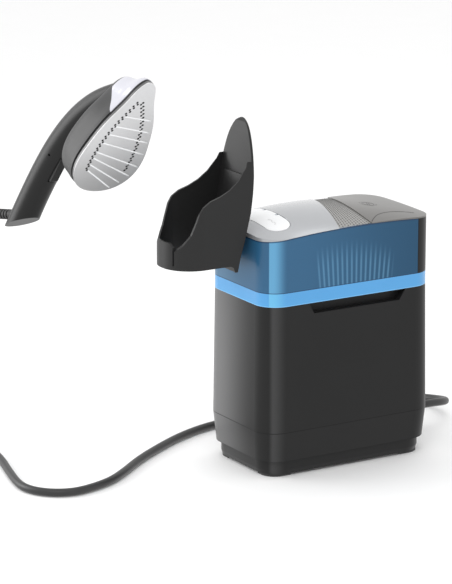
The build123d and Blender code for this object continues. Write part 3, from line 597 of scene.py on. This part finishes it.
def make_sole_ridges():
    """Bright ridges that fan from one row of steam holes towards the plate's other edge."""
    outward = (on_head(0, 0, -1) - on_head(0, 0, 0)).normalized()
    mesh = bmesh.new()
    ridges = [((-52, -24.5), (-78, 17)), ((-43, -25.5), (-70, 27)), ((-33, -25.5), (-60, 36)),
              ((-24, -24.5), (-46, 42)), ((-10, -22.5), (-27, 41)), ((3, -20), (-9, 38)),
              ((15, -16.5), (6, 34)), ((30, -11), (24, 28))]
    for (x0, y0), (x1, y1) in ridges:
        line = [on_head(x0 + (x1 - x0) * t / 8, y0 + (y1 - y0) * t / 8, 0.0) for t in range(9)]
        sweep(mesh, line, 0.95 * MM, 8, 0.5, outward)
    new_piece("sole_ridges", mesh, "door", "steam_head")


def along_rows(rows, share):
    """The point at a share of the length of straight runs."""
    lengths = [0.0]
    for before, after in zip(rows, rows[1:]):
        lengths.append(lengths[-1] + math.dist(before, after))
    wanted = lengths[-1] * share
    leg = min(sum(1 for length in lengths if length <= wanted), len(rows) - 1)
    part = (wanted - lengths[leg - 1]) / (lengths[leg] - lengths[leg - 1])
    (x0, y0), (x1, y1) = rows[leg - 1], rows[leg]
    return x0 + (x1 - x0) * part, y0 + (y1 - y0) * part


def make_vents():
    """Dark discs over the steam holes, in pairs along two rows: painted shade for the dark inside of the
    holes.
    """
    row = [(50, 3.2), (35, 10.5), (20, 17), (2, 22.5), (-15, 26), (-33, 27.5), (-50, 27)]
    stations, radius, sides, outside, inside = 18, 1.5, 12, -0.06, 0.6
    mesh = bmesh.new()
    for index in range(stations):
        x, y = along_rows(row, index / (stations - 1))
        for side in (-1, 1):
            for shift in (-1.4, 1.4):
                middle_x, middle_y = x + shift, side * (y + shift * 0.6)
                rings = [[mesh.verts.new(on_head(middle_x + radius * math.cos(2 * math.pi * turn / sides),
                                                 middle_y + radius * math.sin(2 * math.pi * turn / sides), z))
                          for turn in range(sides)] for z in (outside, inside)]
                close_off(mesh, *rings)
    new_piece("steam_vents", mesh, "vent", "steam_head", smooth=False)


def make_coil(node, body, base, axis, across, size):
    """A coil spring in place of the rigid one.

    Its size is the coil's radius, its height, the wire's radius and the number of turns.
    """
    radius, height, wire, turns = size
    other = axis.cross(across)
    per_turn = 24
    line = []
    for step in range(turns * per_turn + 1):
        angle = 2 * math.pi * step / per_turn
        line.append(base + axis * (height * step / (turns * per_turn))
                    + across * (radius * math.cos(angle)) + other * (radius * math.sin(angle)))
    mesh = bmesh.new()
    sweep(mesh, line, wire, 8)
    coil = new_piece(node + "_coil", mesh, "steel", body)
    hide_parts(node)
    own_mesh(coil)


def make_springs():
    base = Vector((BUTTON_X * MM, BUTTON_Y * MM, 290.2 * MM))
    make_coil("button_spring", "root", base, Vector((0, 0, 1)), Vector((1, 0, 0)),
              (4.4 * MM, 5.6 * MM, 0.4 * MM, 4))
    base, top = on_head(-128, 0, 79.2), on_head(-128, 0, 88.4)
    away = (top - base).normalized()
    across = (on_head(1, 0, 0) - on_head(0, 0, 0)).normalized()
    make_coil("trigger_spring", "steam_head", base, away, across,
              (3.0 * MM, 9.2 * MM, 0.35 * MM, 4))


# ---------------------------------------------------------------- studio
def area_light(name, place, target, size, power):
    lamp = bpy.data.lights.new(name, "AREA")
    lamp.shape = "RECTANGLE"
    lamp.size, lamp.size_y = size
    lamp.energy = power
    light = bpy.data.objects.new(name, lamp)
    bpy.context.scene.collection.objects.link(light)
    light.location = place
    direction = Vector(target) - Vector(place)
    light.rotation_euler = direction.to_track_quat("-Z", "Y").to_euler()


def make_studio():
    mesh = bmesh.new()
    reach = 14.0
    corners = [mesh.verts.new((x * reach, y * reach, 0.0)) for x, y in ((-1, -1), (1, -1), (1, 1), (-1, 1))]
    mesh.faces.new(corners)
    data = bpy.data.meshes.new("floor")
    mesh.to_mesh(data)
    mesh.free()
    data.materials.append(moulded("floor_white", (0.95, 0.95, 0.95), 0.7, 0.01, 60.0, 0.01))
    floor = bpy.data.objects.new("floor", data)
    bpy.context.scene.collection.objects.link(floor)
    floor.visible_glossy = False

    world = bpy.data.worlds.new("studio")
    world.use_nodes = True
    world.node_tree.nodes["Background"].inputs["Color"].default_value = (1, 1, 1, 1)
    world.node_tree.nodes["Background"].inputs["Strength"].default_value = 1.0
    bpy.context.scene.world = world
    bpy.context.scene.view_settings.view_transform = "Standard"

    middle = (-0.05, 0.0, 0.2)
    area_light("key", (-1.3, -1.5, 1.7), middle, (1.2, 1.2), 9)
    area_light("left_wall", (-1.1, 0.9, 0.5), (-0.1, 0.0, 0.15), (0.9, 1.0), 10)
    area_light("overhead", (0.2, 0.3, 2.2), middle, (1.6, 1.6), 8)


def make_camera():
    data = bpy.data.cameras.new("camera")
    data.lens = 209.98
    data.sensor_width = 36.0
    camera = bpy.data.objects.new("camera", data)
    bpy.context.scene.collection.objects.link(camera)
    camera.location = (-2.1214, -3.3108, 1.2376)
    camera.rotation_euler = (math.radians(75.2), 0.0, math.radians(-31.01))
    bpy.context.scene.camera = camera


make_camera()
make_hose()
dress()
make_knurl()
make_panel_details()
make_door_icon()
make_sole_ridges()
make_vents()
make_springs()
make_studio()
